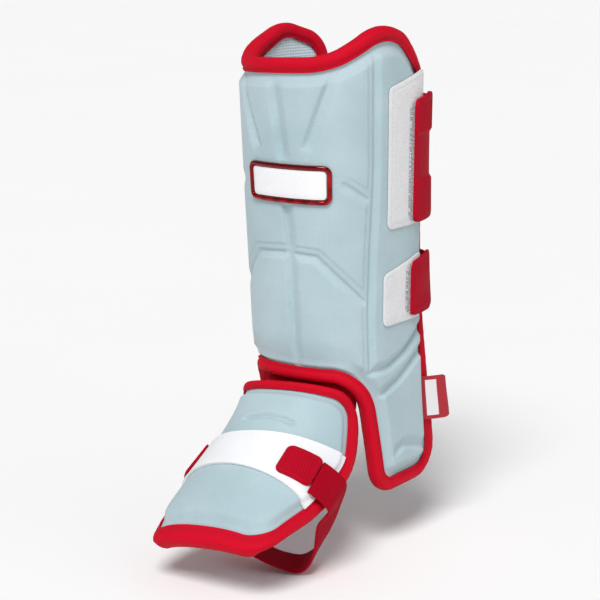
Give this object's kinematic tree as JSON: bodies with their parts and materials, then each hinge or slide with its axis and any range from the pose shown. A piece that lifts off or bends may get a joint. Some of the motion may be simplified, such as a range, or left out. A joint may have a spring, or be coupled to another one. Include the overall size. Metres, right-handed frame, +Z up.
{
  "type": "leg guard",
  "caption": "Batter's left leg guard: moulded shin and calf wall with ankle lobes, joined instep and toe guard, bound edges, calf straps and a sole strap.",
  "frame": {"origin": "on the inner face of the lining at the middle of the shin, 57% of the way up, where the guard lies on the leg", "axes": "+Z up the shin, -Y forwards to the toe, +X to the outer side of the left leg"},
  "size_m": [0.1285, 0.2504, 0.3916],
  "materials": {
    "shell_fabric": "matt knitted face cloth over moulded foam",
    "mesh_lining": "matt spacer mesh",
    "binding_tape": "matt woven tape, stitched",
    "gusset_cloth": "matt knitted cloth",
    "badge_frame": "metallised red, glossy",
    "badge_plate": "smooth white, bare",
    "loop_cloth": "brushed loop pile",
    "moulded_tab": "matt moulded, ribbed",
    "elastic_web": "matt elastic webbing",
    "band_cloth": "smooth white coated cloth",
    "tag_cloth": "satin woven, bare"
  },
  "bodies": {
    "root": {"shin_shell": "shell_fabric", "foot_shell": "shell_fabric", "shin_lining": "mesh_lining", "foot_lining": "mesh_lining", "shin_binding": "binding_tape", "foot_binding": "binding_tape", "ankle_gusset": "gusset_cloth", "badge_frame": "badge_frame", "badge_plate": "badge_plate", "upper_loop_panel": "loop_cloth", "lower_loop_panel": "loop_cloth", "upper_strap_tab": "moulded_tab", "lower_strap_tab": "moulded_tab", "foot_strap_tab": "moulded_tab", "upper_strap_low": "elastic_web", "upper_strap_high": "elastic_web", "lower_strap": "elastic_web", "foot_strap": "elastic_web", "foot_band": "band_cloth", "side_tag": "tag_cloth"}
  },
  "joints": []
}
